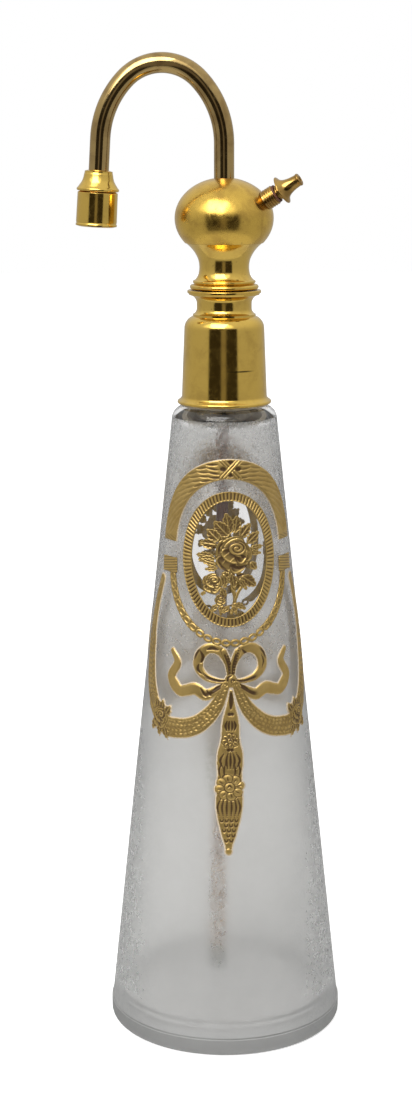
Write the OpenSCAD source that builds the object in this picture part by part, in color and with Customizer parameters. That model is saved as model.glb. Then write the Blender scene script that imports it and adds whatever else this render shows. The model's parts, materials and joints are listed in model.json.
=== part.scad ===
// Perfume atomiser: a tall conical glass bottle with a screwed brass spray head.
// Millimetres, +Z up. The origin is on the bottle's axis in its resting plane.
// +X points to the hose nipple, -X to the spray nozzle, and -Y to the front.

/* [Glass bottle] */
// Radius of the polished foot band
foot_r = 30.8; // [29:0.1:33]
// Height of the polished foot band
foot_h = 5; // [4:0.5:8]
// Radius where the cone meets the shoulder
shoulder_r = 13.4; // [13:0.1:14.5]
// Height of the flat shoulder above the table
shoulder_z = 165.8; // [150:0.1:180]
// Thickness of the cone's wall
glass_wall = 2.6; // [2:0.1:3]
// Thickness of the glass floor
floor_t = 5; // [4:0.5:8]
// Outer radius of the neck
neck_r = 8.6; // [8.4:0.1:8.8]
// Radius of the neck's bore
neck_bore_r = 5.4; // [5.2:0.1:5.5]
// Height of the neck above the shoulder
neck_h = 18.2; // [17.8:0.1:18.4]

/* [Brass collar] */
// Radius of the rolled flange
flange_r = 12.05; // [11.8:0.05:12.5]
// Radius of the skirt above the flange
skirt_r = 10.9; // [10.7:0.05:11.1]
// Radius at the top of the skirt
skirt_top_r = 10.2; // [10:0.05:10.4]
// Thickness of the spun brass
sheet_t = 0.45; // [0.35:0.05:0.5]

/* [Screw joint of the head] */
// Radius over the spigot's thread
thread_r = 6; // [5.9:0.05:6]
// Rise in one turn
thread_pitch = 1; // [0.8:0.1:1]
// Turns until the thread is free
thread_turns = 3; // [2:1:3]

/* [Head] */
// Radius of the bead at the bottom of the pedestal
pedestal_r = 8.75; // [8.5:0.05:9]
// Radius of the pedestal's waist
waist_r = 6.3; // [6.2:0.05:6.6]
// Radius of the ball at its equator
ball_r = 12.5; // [12.2:0.1:13]
// Height of the ball as a share of its width
ball_flatness = 0.808; // [0.8:0.002:0.82]
// Thickness of the ball's shell
ball_wall = 0.6; // [0.5:0.05:0.7]

/* [Swan neck] */
// Outer radius of the swan-neck tube
neck_tube_r = 2.55; // [2.4:0.05:2.6]
// Wall of the swan-neck tube
neck_tube_wall = 0.5; // [0.4:0.05:0.6]
// Bend radius at the top of the arch
arch_top_r = 12.7; // [12:0.1:13.5]
// Half the width between the arch's vertical tangents
arch_half_w = 15.5; // [14.5:0.1:16]
// Turn of each side bend before the tighter bend takes over, in degrees
blend_deg = 43.6; // [38:0.1:48]
// Outward lean of the nozzle, in degrees
nozzle_lean = 3.5; // [0:0.5:5]

/* [Nozzle] */
// Radius of the bead between the bell and the cap
bead_r = 5.36; // [5.3:0.02:5.5]
// Radius of the cap below the bead
cap_r = 5.05; // [5:0.05:5.2]
// Length of the cap
cap_l = 8.9; // [8.5:0.1:9.5]
// Radius over the bell's thread
cap_thread_r = 4.4; // [4.3:0.05:4.4]

/* [Hose nipple] */
// Rise of the nipple's axis above the level, in degrees
nipple_rise = 31; // [25:1:35]
// Turn of the nipple's axis towards the front, in degrees
nipple_turn = 18; // [0:1:25]
// Radius of the nipple's flange
nipple_flange_r = 3.6; // [3.4:0.1:3.8]
// Radius of the stem that takes the hose
stem_r = 1.5; // [1.4:0.05:1.5]
// Length of the straight stem
stem_l = 3; // [3:0.2:5]

/* [Dip tube] */
// Outer radius of the dip tube
dip_r = 1.5; // [1.4:0.05:1.5]
// Height of the tube's lower end above the table
dip_end_z = 12; // [10:0.5:20]
// Lean of the dip tube towards the nozzle's side, in degrees
dip_lean = 0.7; // [0:0.1:0.7]

/* [Fits] */
// Radial clearance between a screw and its bore
run_gap = 0.08; // [0.05:0.01:0.1]
// Gap between faces that turn on each other
face_gap = 0.05; // [0.04:0.01:0.08]
// Radial gap in a soldered or pressed joint
solder_gap = 0.02; // [0.01:0.01:0.03]

/* [Hidden] */
$fn = 96;

// Bottle
foot_edge_r = 0.8;
etch_depth = 0.35;
cone_z = foot_h + 0.3;
shoulder_round = 2.3;
cavity_round = 4;
shoulder_in_z = shoulder_z - 3.2;
shoulder_in_drop = 2;
neck_top_z = shoulder_z + neck_h;
lip_round = 0.6;
cement_top_z = neck_top_z - 1.2;

// Collar, from the underside of its flange upwards
collar_z = shoulder_z + 0.5;
roll_r = 0.5;
flange_fillet = 1.1;
skirt_top_h = 19.2;
dome_r = 3.3;
throat_r = 7;
throat_h = 24.3;
throat_top_h = 25.5;
throat_fillet = 1.6;
flare_r = 2.2;
lip_r = 9.4;
lip_h = 28.9;
lip_face_h = 0.9;

// Screw joint
lip_z = collar_z + lip_h;
thread_l = thread_pitch * thread_turns + 0.3;
thread_z = lip_z - thread_l;
bush_r = throat_r - sheet_t - solder_gap;
bush_flange_r = 8.2;
bush_flange_t = 0.75;
bush_neck_t = 1.4;
thread_relief = 0.3;
spigot_r = thread_r - thread_relief;
spigot_in_r = 4.6;
cork_t = 1.6;
cork_r = 7;
cork_hole_r = 4.3;
slip_z = neck_top_z + cork_t + face_gap;
slip_t = 0.8;
slip_r = thread_r - 0.1;
slip_in_r = cork_hole_r;
spigot_z = slip_z + slip_t + face_gap;

// Pedestal, from its underside upwards
pedestal_z = lip_z + 0.2;
pedestal_h = 11.5;
pedestal_wall = 0.7;
solder_h = 1.7;
seat_r = 9.6;
base_bead_r = 0.6;
upper_bead_r = 0.4;
// Waist curve of the pedestal's outside, then of its inside, as radius and height
waist_curve = [[7.3, 2.5], [6.8, 3.2], [waist_r + 0.12, 4.2], [waist_r, 5.4], [waist_r + 0.12, 6.9],
    [6.75, 7.9], [7.2, 8.8], [7.75, 9.8], [8.7, 10.8], [seat_r, pedestal_h]];
inside_curve = [[seat_r - pedestal_wall, pedestal_h], [7.9, 10.9], [6.9, 9.8], [6.1, 8.2], [5.6, 7]];

// Ball
ball_half_h = ball_r * ball_flatness;
ball_cut_z = pedestal_z + pedestal_h;
ball_z = ball_cut_z + ball_half_h * sqrt(1 - pow(seat_r / ball_r, 2));
ball_top_z = ball_z + ball_half_h;
socket_r = 3.6;
socket_z = ball_top_z - 3.9;
socket_top_z = ball_z + (ball_half_h - ball_wall) * sqrt(1 - pow(socket_r / (ball_r - ball_wall), 2));

// Core
core_z = spigot_z + 1;
core_top_z = pedestal_z + 3.6;
core_r = spigot_in_r - solder_gap;
dip_top_z = core_z + 6;
air_hole_r = 0.55;
air_hole_at = 3.1;
gland_r = 2.6;
gland_t = 1.4;
strainer_l = 5;
strainer_r = 2;

// Swan neck: two wide side bends that run into a tighter one at the crown
spring_z = round(10 * (ball_top_z + 8.1)) / 10;
arch_side_r = (arch_half_w - arch_top_r * cos(blend_deg)) / (1 - cos(blend_deg));
side_off = arch_side_r - arch_half_w;
crown_h = side_off * tan(blend_deg);
liquid_r = 1.5;
liquid_in_r = 1;

// Nozzle, with distances measured down its own axis from the top of the bell
nozzle_leg = 7.9;
bell_r = 3.5;
bell_h = 5.25;
tube_in_bell = 3.5;
skirt_in_r = 3.4;
cap_turns = 3;
cap_pitch = 0.8;
cap_thread_l = cap_turns * cap_pitch + 0.25;
cap_top = bell_h + face_gap;
cap_end = cap_top + cap_l;
shelf_t = bell_h + cap_thread_l + 1;
washer_t = 0.8;
web_top = cap_end - 2.3;
web_t = 0.6;
disc_t = 0.7;
disc_r = 4.3;
jet_flange_r = skirt_in_r - solder_gap;
jet_t = 4;
jet_flange_t = 1;
jet_body_r = 2.1;
jet_body_l = 2;
jet_tip_r = 0.8;
jet_bore_r = 0.3;
air_slot_r = 0.5;
air_slot_at = 2.5;
orifice_r = 0.3;
web_hole_r = 1.2;

// Nipple, with distances measured out along its own axis from the ball's skin
stub_r = 2.55;
stub_l = 2.65;
stub_tail_r = 1.95;
stub_tail_l = 1.8;
rib_count = 4;
rib_depth = 0.25;
shank_r = 1.5;
shank_l = 2.3;
hose_washer_t = 0.5;
hose_washer_r = 2.3;
nipple_neck_r = 1.75;
hub_r = 2.2;
hub_t = 3.9;
nipple_flange_t = 4.45;
nipple_rim_t = 0.5;
flare_t = 1.5;
stem_t = nipple_flange_t + nipple_rim_t + flare_t;
tip_l = 0.6;
nipple_bore_r = 0.6;
// The nipple stands square to the ball's skin
skin_deg = atan(tan(90 - nipple_rise) / ball_flatness);
skin_rho = ball_r * sin(skin_deg);
skin_h = ball_half_h * cos(skin_deg);

// Points of a round stretch about [x, y], turning from one angle to another
function arc(x, y, r, from, to, steps = 8) =
    [for (i = [0:steps]) let (a = from + (to - from) * i / steps) [x + r * cos(a), y + r * sin(a)]];

// Points of half an ellipse, from its top to its bottom
function half_ellipse(z, a, b, steps = 24) =
    [for (i = [0:steps]) let (t = 90 - 180 * i / steps) [a * cos(t), z + b * sin(t)]];

// A turned solid from the points of its half outline
module turned(points) {
    rotate_extrude() polygon(points);
}

// A straight ring or tube standing on z
module ring(z, h, outer, inner) {
    translate([0, 0, z]) difference() {
        cylinder(h = h, r = outer);
        translate([0, 0, -1]) cylinder(h = h + 2, r = inner);
    }
}

// The arch's own frame, in the middle of the swan neck where its bends begin
module at_arch() {
    translate([-arch_half_w, 0, spring_z]) children();
}

// The frame at the end of the far side bend: +Z runs down the straight leg
module at_leg() {
    at_arch() translate([side_off - arch_side_r * cos(nozzle_lean), 0, arch_side_r * sin(nozzle_lean)])
        rotate([0, 180 + nozzle_lean, 0]) children();
}

// The nozzle's own frame: +Z runs down and out of the nozzle
module at_nozzle() {
    at_leg() translate([0, 0, nozzle_leg]) children();
}

// The nipple's own frame: +Z runs out of the ball
module at_nipple() {
    translate([skin_rho * cos(nipple_turn), -skin_rho * sin(nipple_turn), ball_z + skin_h])
        rotate([0, 90 - nipple_rise, -nipple_turn]) children();
}

// The dip tube's own frame: +Z runs up the tube, which crosses the axis at the cork
module at_dip() {
    translate([0, 0, neck_top_z]) rotate([0, dip_lean, 0]) translate([0, 0, -neck_top_z]) children();
}

// One bend of a rod in the XZ plane
module bend(bend_r, from, to, rod_r) {
    rotate([90, 0, 0]) rotate_extrude(angle = to - from, start = from)
        translate([bend_r, 0]) circle(r = rod_r);
}

// A rod that follows the swan neck from a height inside the head to a depth in the nozzle
module swan_rod(rod_r, start_z, end_t) {
    at_arch() translate([arch_half_w, 0, 0]) mirror([0, 0, 1]) cylinder(h = spring_z - start_z, r = rod_r);
    at_arch() translate([-side_off, 0, 0]) bend(arch_side_r, 0, blend_deg, rod_r);
    at_arch() translate([0, 0, crown_h]) bend(arch_top_r, blend_deg, 180 - blend_deg, rod_r);
    at_arch() translate([side_off, 0, 0]) bend(arch_side_r, 180 - blend_deg, 180 - nozzle_lean, rod_r);
    at_leg() cylinder(h = nozzle_leg + end_t, r = rod_r);
}

module swan_tube(outer, inner, start_z, end_t) {
    difference() {
        swan_rod(outer, start_z, end_t);
        swan_rod(inner, start_z - 1, end_t + 1);
    }
}

module bottle() {
    cone_drop = shoulder_round * 0.9;
    color("azure") turned(concat(
        [[0, 0]],
        arc(foot_r - foot_edge_r, foot_edge_r, foot_edge_r, -90, 0, 4),
        [[foot_r, foot_h], [foot_r - etch_depth, cone_z]],
        [[shoulder_r, shoulder_z - cone_drop]],
        arc(shoulder_r - shoulder_round, shoulder_z - shoulder_round, shoulder_round, 6, 90, 6),
        [[neck_r, shoulder_z]],
        arc(neck_r - lip_round, neck_top_z - lip_round, lip_round, 0, 90, 4),
        [[neck_bore_r, neck_top_z], [neck_bore_r, shoulder_in_z]],
        [[shoulder_r - glass_wall, shoulder_in_z - shoulder_in_drop]],
        arc(foot_r - glass_wall - cavity_round, floor_t + cavity_round, cavity_round, 0, -90, 6),
        [[0, floor_t]]));
}

module cement_ring() {
    color("ivory") turned([
        [neck_r, shoulder_z], [skirt_r, shoulder_z], [skirt_r, collar_z],
        [skirt_r - sheet_t, collar_z], [skirt_r - sheet_t, collar_z + flange_fillet + 2 * roll_r],
        [skirt_top_r - sheet_t, cement_top_z], [neck_r, cement_top_z]]);
}

module collar() {
    flare_x = throat_r + flare_r;
    throat_x = throat_r + throat_fillet;
    dome_x = skirt_top_r - dome_r;
    color("gold") translate([0, 0, collar_z]) turned(concat(
        [[skirt_r - sheet_t, 0]],
        arc(flange_r - roll_r, roll_r, roll_r, -90, 90, 6),
        arc(skirt_r + flange_fillet, 2 * roll_r + flange_fillet, flange_fillet, 225, 180, 4),
        arc(dome_x, skirt_top_h, dome_r, 0, 70),
        arc(throat_x, throat_h, throat_fillet, 250, 180, 5),
        arc(flare_x, throat_top_h, flare_r, 180, 95, 6),
        [[lip_r, lip_h - lip_face_h], [lip_r, lip_h], [bush_flange_r, lip_h]],
        arc(flare_x, throat_top_h, flare_r + sheet_t, 110, 180, 6),
        arc(throat_x, throat_h, throat_fillet + sheet_t, 180, 250, 5),
        arc(dome_x, skirt_top_h, dome_r - sheet_t, 70, 0),
        [[skirt_r - sheet_t, 2 * roll_r + flange_fillet]]));
}

module threaded_bush() {
    color("goldenrod") turned([
        [thread_r + run_gap, thread_z], [bush_r, thread_z], [bush_r, lip_z - bush_neck_t],
        [bush_flange_r - 0.4, lip_z - bush_flange_t], [bush_flange_r, lip_z - bush_flange_t],
        [bush_flange_r, lip_z], [thread_r + run_gap, lip_z]]);
}

module cork_gasket() {
    color("burlywood") ring(neck_top_z, cork_t, cork_r, cork_hole_r);
}

module slip_ring() {
    color("darkgoldenrod") ring(slip_z, slip_t, slip_r, slip_in_r);
}

module screw_spigot() {
    color("goldenrod") turned([
        [spigot_in_r, spigot_z], [spigot_r, spigot_z], [spigot_r, thread_z],
        [thread_r, thread_z + thread_relief], [thread_r, pedestal_z + solder_h],
        [spigot_in_r, pedestal_z + solder_h]]);
}

module head_pedestal() {
    web_top_h = solder_h + 0.6;
    color("gold") translate([0, 0, pedestal_z]) turned(concat(
        [[thread_r + solder_gap, 0]],
        arc(pedestal_r - base_bead_r, base_bead_r, base_bead_r, -90, 90, 6),
        [[pedestal_r - 1.15, 1.4]],
        arc(pedestal_r - 1.15, 1.85, upper_bead_r, -60, 60, 4),
        waist_curve,
        inside_curve,
        [[5.6, web_top_h], [spigot_in_r + 0.2, web_top_h], [spigot_in_r + 0.2, solder_h + 0.02]],
        [[thread_r + solder_gap, solder_h + 0.02]]));
}

module manifold_core() {
    color("goldenrod") difference() {
        translate([0, 0, core_z]) cylinder(h = core_top_z - core_z, r = core_r);
        at_dip() translate([0, 0, core_z - 2]) cylinder(h = dip_top_z - core_z + 2, r = dip_r + solder_gap);
        translate([0, 0, core_z]) cylinder(h = core_top_z, r = liquid_r + solder_gap);
        for (side = [-1, 1])
            translate([0, side * air_hole_at, core_z - 1]) cylinder(h = core_top_z, r = air_hole_r);
    }
}

module tube_nut() {
    color("darkgoldenrod") difference() {
        translate([0, 0, core_z - gland_t]) cylinder(h = gland_t, r = gland_r, $fn = 6);
        at_dip() translate([0, 0, core_z - 5]) cylinder(h = 10, r = dip_r + solder_gap);
    }
}

module dip_tube() {
    color("peru") at_dip() ring(dip_end_z, dip_top_z - dip_end_z - 0.1, dip_r, dip_r - 0.5);
}

module tube_strainer() {
    color("darkgoldenrod") at_dip() difference() {
        translate([0, 0, dip_end_z - 0.6]) cylinder(h = strainer_l + 0.6, r = strainer_r);
        translate([0, 0, dip_end_z]) cylinder(h = strainer_l + 1, r = dip_r + solder_gap);
        translate([0, 0, dip_end_z - 2]) cylinder(h = 3, r = dip_r - 0.5);
    }
}

// The ball's solid outline, used for its skin and to trim what stands on it
module ball_solid(inset) {
    turned(half_ellipse(ball_z, ball_r - inset, ball_half_h - inset));
}

module ball_shell() {
    color("gold") difference() {
        ball_solid(0);
        ball_solid(ball_wall);
        translate([0, 0, ball_cut_z - 20]) cylinder(h = 20, r = ball_r);
        translate([0, 0, ball_z]) cylinder(h = ball_r, r = neck_tube_r + solder_gap);
        at_nipple() translate([0, 0, -3]) cylinder(h = 6, r = stub_tail_r + solder_gap);
    }
}

module tube_socket() {
    color("goldenrod") ring(socket_z, socket_top_z - socket_z, socket_r, neck_tube_r + solder_gap);
}

module swan_neck_tube() {
    color("darkkhaki") swan_tube(neck_tube_r, neck_tube_r - neck_tube_wall, socket_z, tube_in_bell);
}

module liquid_tube() {
    color("peru") swan_tube(liquid_r, liquid_in_r, dip_top_z + 0.2, tube_in_bell + 1.4);
}

module nozzle_bell() {
    color("gold") at_nozzle() turned(concat(
        [[neck_tube_r + solder_gap, 0], [bell_r - 0.2, 0], [bell_r, 0.2], [bell_r + 0.05, 0.6]],
        [[bell_r + 0.2, 1.6], [bell_r + 0.5, 2.6], [bell_r + 1.1, 3.6], [bead_r - 0.3, 4.3]],
        arc(bead_r - 0.45, 4.8, 0.45, -50, 90, 4),
        [[cap_thread_r, bell_h], [cap_thread_r, bell_h + cap_thread_l]],
        [[skirt_in_r, bell_h + cap_thread_l], [skirt_in_r, tube_in_bell + 0.1]],
        [[neck_tube_r + solder_gap, tube_in_bell + 0.1]]));
}

module liquid_jet() {
    color("goldenrod") at_nozzle() difference() {
        turned([
            [0, jet_t], [jet_flange_r, jet_t], [jet_flange_r, jet_t + jet_flange_t],
            [jet_body_r, jet_t + jet_flange_t], [jet_body_r, jet_t + jet_flange_t + jet_body_l],
            [jet_tip_r, web_top - 0.2], [0, web_top - 0.2]]);
        cylinder(h = tube_in_bell + 1.5, r = liquid_r + solder_gap);
        cylinder(h = cap_end, r = jet_bore_r);
        for (i = [0:3])
            rotate([0, 0, 90 * i]) translate([air_slot_at, 0, jet_t - 1]) cylinder(h = 3, r = air_slot_r);
    }
}

module nozzle_gasket() {
    color("burlywood") at_nozzle()
        ring(shelf_t - washer_t, washer_t - 0.02, cap_thread_r, skirt_in_r - 0.4);
}

module nozzle_cap() {
    color("gold") at_nozzle() turned(concat(
        [[cap_thread_r + run_gap, cap_top], [cap_r - 0.15, cap_top], [cap_r, cap_top + 0.2]],
        [[cap_r + 0.1, cap_end - 1.2], [cap_r + 0.02, cap_end - 1.05]],
        arc(cap_r - 0.25, cap_end - 0.5, 0.4, -50, 50, 4),
        [[disc_r + 0.1, cap_end], [disc_r + solder_gap, cap_end - 0.1]],
        [[disc_r + solder_gap, web_top + web_t], [web_hole_r, web_top + web_t], [web_hole_r, web_top]],
        [[skirt_in_r, web_top], [skirt_in_r, shelf_t], [cap_thread_r + run_gap, shelf_t]]));
}

module orifice_disc() {
    color("goldenrod") at_nozzle() ring(web_top + web_t, disc_t, disc_r, orifice_r);
}

module inlet_stub() {
    rib_w = stub_l / (rib_count * 2 + 1);
    color("gold") difference() {
        at_nipple() translate([0, 0, -1]) cylinder(h = 1 + stub_l, r = stub_r);
        ball_solid(0);
        at_nipple() for (i = [0:rib_count - 1])
            ring(rib_w * (2 * i + 1.1), rib_w * 0.8, stub_r + 1, stub_r - rib_depth);
        at_nipple() translate([0, 0, -3]) cylinder(h = 10, r = shank_r + run_gap);
    }
    color("gold") at_nipple() ring(-stub_tail_l, stub_tail_l + 0.4, stub_tail_r, shank_r + run_gap);
}

module nipple_washer() {
    color("sienna") at_nipple()
        ring(stub_l + face_gap, hose_washer_t - face_gap, hose_washer_r, shank_r + 0.15);
}

module hose_nipple() {
    rim_r = nipple_rim_t / 2;
    hub_seat_t = stub_l + hose_washer_t + face_gap;
    color("gold") at_nipple() turned(concat(
        [[nipple_bore_r, stub_l - shank_l], [shank_r, stub_l - shank_l]],
        [[shank_r, hub_seat_t], [nipple_neck_r, hub_seat_t]],
        [[nipple_neck_r, hub_t - 0.2], [hub_r, hub_t], [hub_r, nipple_flange_t]],
        arc(nipple_flange_r - rim_r, nipple_flange_t + rim_r, rim_r, -90, 90, 4),
        arc(stem_r + flare_t, stem_t, flare_t, 270, 180, 6),
        [[stem_r, stem_t + stem_l]],
        arc(stem_r - 0.5, stem_t + stem_l, 0.5, 0, 90, 4),
        [[nipple_bore_r, stem_t + stem_l + 0.5]]));
}

bottle();
cement_ring();
collar();
threaded_bush();
cork_gasket();
slip_ring();
head_pedestal();
screw_spigot();
manifold_core();
tube_nut();
dip_tube();
tube_strainer();
ball_shell();
tube_socket();
swan_neck_tube();
liquid_tube();
nozzle_bell();
liquid_jet();
nozzle_gasket();
nozzle_cap();
orifice_disc();
inlet_stub();
nipple_washer();
hose_nipple();
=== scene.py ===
import json
import math

import bmesh
import bpy
import numpy as np
from mathutils import Matrix, Vector


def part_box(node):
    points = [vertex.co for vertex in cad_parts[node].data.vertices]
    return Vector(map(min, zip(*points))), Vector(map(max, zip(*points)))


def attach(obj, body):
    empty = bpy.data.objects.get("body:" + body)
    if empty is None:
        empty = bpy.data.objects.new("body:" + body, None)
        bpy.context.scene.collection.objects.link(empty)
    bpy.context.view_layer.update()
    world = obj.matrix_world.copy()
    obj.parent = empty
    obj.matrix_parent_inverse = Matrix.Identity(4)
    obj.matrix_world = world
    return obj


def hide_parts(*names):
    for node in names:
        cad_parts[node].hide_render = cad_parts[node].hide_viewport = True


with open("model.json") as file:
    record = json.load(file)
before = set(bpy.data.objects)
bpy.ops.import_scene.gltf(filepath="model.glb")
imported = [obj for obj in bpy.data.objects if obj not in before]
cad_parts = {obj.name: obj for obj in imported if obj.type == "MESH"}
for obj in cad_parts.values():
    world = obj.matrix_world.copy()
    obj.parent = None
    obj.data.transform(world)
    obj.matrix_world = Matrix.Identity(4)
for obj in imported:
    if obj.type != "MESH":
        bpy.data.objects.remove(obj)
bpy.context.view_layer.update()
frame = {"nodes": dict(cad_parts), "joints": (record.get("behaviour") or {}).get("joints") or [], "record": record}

MM = 0.001
TAU = 2 * math.pi
joints = {j["name"]: j for j in frame["joints"]}


# ---------------------------------------------------------------- frame in millimetres

def top(node):
    """Highest z of a CAD node."""
    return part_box(node)[1][2] / MM


def bottom(node):
    """Lowest z of a CAD node."""
    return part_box(node)[0][2] / MM


def reach(node):
    """Largest x of a CAD node, which is its radius where it is turned about the axis."""
    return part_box(node)[1][0] / MM


def joint_frame(name, back):
    """A frame with +Z along a joint's axis, its origin moved back along it by so many millimetres."""
    axis = Vector(joints[name]["axis"]).normalized()
    side = axis.cross(Vector((0, 1, 0))).normalized()
    turn = Matrix((side, axis.cross(side), axis)).transposed().to_4x4()
    return Matrix.Translation(Vector(joints[name]["pos_m"]) - axis * back * MM) @ turn


FOOT_R = reach("bottle")
FOOT_H = 5.0
NECK_TOP = top("bottle")
SHOULDER_Z = bottom("cement_ring")
SHOULDER_R = 13.4
CONE_R = FOOT_R - 0.35
CONE_Z = FOOT_H + 0.3
SHOULDER_DROP = 2.07
NECK_R = 8.6
BORE_R = 5.4
GLASS_WALL = 2.6
FLOOR_T = 5.0
COLLAR_Z = bottom("collar")
LIP_Z = top("collar")
PEDESTAL_Z = bottom("head_pedestal")
SEAT_Z = top("head_pedestal")
BALL_TOP = top("ball_shell")
BALL_R = reach("ball_shell")
BALL_HALF_H = BALL_R * 0.808
BALL_Z = BALL_TOP - BALL_HALF_H
NOZZLE = joint_frame("nozzle_turn", 9)
NIPPLE = joint_frame("nipple_turn", 2.65)


def cone_r(z):
    """Outer radius of the etched cone at a height."""
    share = (z - CONE_Z) / (SHOULDER_Z - SHOULDER_DROP - CONE_Z)
    return CONE_R + (SHOULDER_R - CONE_R) * share


# ---------------------------------------------------------------- shader helpers

def set_inputs(node, inputs):
    """Sets or links a node's inputs; a colour is three numbers."""
    for key, value in inputs.items():
        if isinstance(value, bpy.types.NodeSocket):
            node.id_data.links.new(value, node.inputs[key])
        else:
            is_color = node.inputs[key].type == "RGBA"
            node.inputs[key].default_value = (*value, 1.0) if is_color else value


def add(kind, inputs, **settings):
    """A shader node in the tree that its linked inputs belong to."""
    linked = next(value for value in inputs.values() if isinstance(value, bpy.types.NodeSocket))
    made = linked.id_data.nodes.new("ShaderNode" + kind)
    for key, value in settings.items():
        setattr(made, key, value)
    set_inputs(made, inputs)
    return made


def noise(place, scale, detail, rough=0.55, distortion=0.0):
    """A cloudy pattern from 0 to 1."""
    return add("TexNoise", {"Vector": place, "Scale": scale, "Detail": detail, "Roughness": rough,
                            "Distortion": distortion}).outputs["Fac"]


def ramp(value, low, high, to_low=0.0, to_high=1.0):
    """A smooth step of a value from one range to another."""
    return add("MapRange", {"Value": value, "From Min": low, "From Max": high, "To Min": to_low,
                            "To Max": to_high}, interpolation_type="SMOOTHSTEP").outputs["Result"]


def calc(operation, a, b=0.0):
    """A sum of one or two values."""
    return add("Math", {0: a, 1: b}, operation=operation).outputs[0]


def times(a, b):
    return calc("MULTIPLY", a, b)


def largest(a, b):
    return calc("MAXIMUM", a, b)


def blend(share, a, b):
    """A colour between two."""
    return add("Mix", {0: share, 6: a, 7: b}, data_type="RGBA").outputs[2]


def bump(height, depth_mm, strength=1.0, under=None):
    """A normal tilted by a height pattern, over another normal if one is given."""
    inputs = {"Height": height, "Strength": strength, "Distance": depth_mm * MM}
    if under:
        inputs["Normal"] = under
    return add("Bump", inputs).outputs["Normal"]


def new_material(name):
    """A material and its object coordinates."""
    made = bpy.data.materials.new(name)
    made.use_nodes = True
    nodes = made.node_tree.nodes
    return made, nodes.new("ShaderNodeTexCoord").outputs["Object"]


def finished(made, color, rough, normal=None, **more):
    """Sets a material's main shader; more holds inputs by name, with _ for a space."""
    inputs = {"Base Color": color, "Roughness": rough}
    if normal is not None:
        inputs["Normal"] = normal
    inputs.update({key.replace("_", " "): value for key, value in more.items()})
    set_inputs(made.node_tree.nodes["Principled BSDF"], inputs)
    return made


# ---------------------------------------------------------------- materials

def near_spot(place, spot, size):
    """A soft share, 1 at a spot and 0 at a distance from it, both in millimetres."""
    away = add("VectorMath", {0: place, 1: [v * MM for v in spot]}, operation="SUBTRACT")
    away = add("VectorMath", {0: away.outputs[0], 1: [1 / (v * MM) for v in size]}, operation="MULTIPLY")
    far = add("VectorMath", {0: away.outputs[0]}, operation="LENGTH").outputs["Value"]
    return ramp(far, 0.1, 1.0, 1.0, 0.0)


def stretched(place, scale, rotation=(0.0, 0.0, 0.0)):
    """Coordinates turned and scaled, to draw a pattern out into lines."""
    return add("Mapping", {"Vector": place, "Rotation": rotation, "Scale": scale}).outputs[0]


def brass(name, base, dark, spread, rough, spots=0.0, nick=None):
    """Brass with cloudy tarnish, turning lines, fine scratches, a few dark spots and perhaps a nick."""
    made, place = new_material(name)
    cloud = noise(place, 190, 5, 0.6, 0.4)
    tarnish = ramp(cloud, 0.5 - spread * 0.4, 0.78 - spread * 0.3, 0.0, 0.25 + spread)
    color = blend(tarnish, base, dark)
    if spots:
        freckle = ramp(noise(place, 900, 3, 0.7), 0.66, 0.74, 0.0, spots)
        color = blend(freckle, color, (0.10, 0.05, 0.02))
    if nick:
        color = blend(near_spot(place, *nick), color, (0.03, 0.018, 0.008))
    gloss = ramp(noise(place, 420, 4, 0.6, 1.2), 0.35, 0.75, rough, rough + 0.13)
    turning = noise(stretched(place, (0.02, 0.02, 1.0)), 7000, 2, 0.6)
    scratch = noise(stretched(place, (1.0, 0.06, 0.4), (0.3, 0.5, 0.2)), 5200, 2, 0.8)
    normal = bump(turning, 0.0015)
    normal = bump(scratch, 0.0012, under=normal)
    normal = bump(noise(place, 160, 2, 0.5), 0.03, 0.2, under=normal)
    return finished(made, color, gloss, normal, Metallic=1.0)


def gilding(name):
    """Fired matt gilding with brown lines, a little worn and grainy, and the pale paste round it; part of the
    brown read from gilt_dark is painted shade and painted dark reflection.
    """
    made, place = new_material(name)
    tone = made.node_tree.nodes.new("ShaderNodeAttribute")
    tone.attribute_name = "gilt_dark"
    dark = tone.outputs["Fac"]
    cloud = ramp(noise(place, 240, 4, 0.6), 0.3, 0.75)
    gold = blend(cloud, (0.62, 0.43, 0.15), (0.50, 0.34, 0.11))
    worn = ramp(noise(place, 1500, 3, 0.7), 0.62, 0.72, 0.0, 0.5)
    gold = blend(worn, gold, (0.36, 0.24, 0.11))
    color = blend(ramp(dark, 0.0, 1.0), gold, (0.070, 0.036, 0.010))
    paste = ramp(dark, -0.5, -0.1, 1.0, 0.0)
    color = blend(paste, color, (0.60, 0.50, 0.37))
    metal = times(ramp(dark, 0.2, 0.9, 0.92, 0.35), calc("SUBTRACT", 1.0, paste))
    grain = bump(noise(place, 3200, 3, 0.7), 0.02, 0.8)
    return finished(made, color, ramp(cloud, 0.0, 1.0, 0.34, 0.5), grain, Metallic=metal)


def clear_glass(name):
    """Polished glass, a little uneven, with faint smears."""
    made, place = new_material(name)
    smear = ramp(noise(place, 150, 4, 0.6, 1.5), 0.45, 0.75, 0.01, 0.06)
    wave = bump(noise(place, 90, 2, 0.5), 0.12, 0.35)
    return finished(made, (0.95, 0.945, 0.94), smear, wave, Transmission_Weight=1.0, IOR=1.5)


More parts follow.
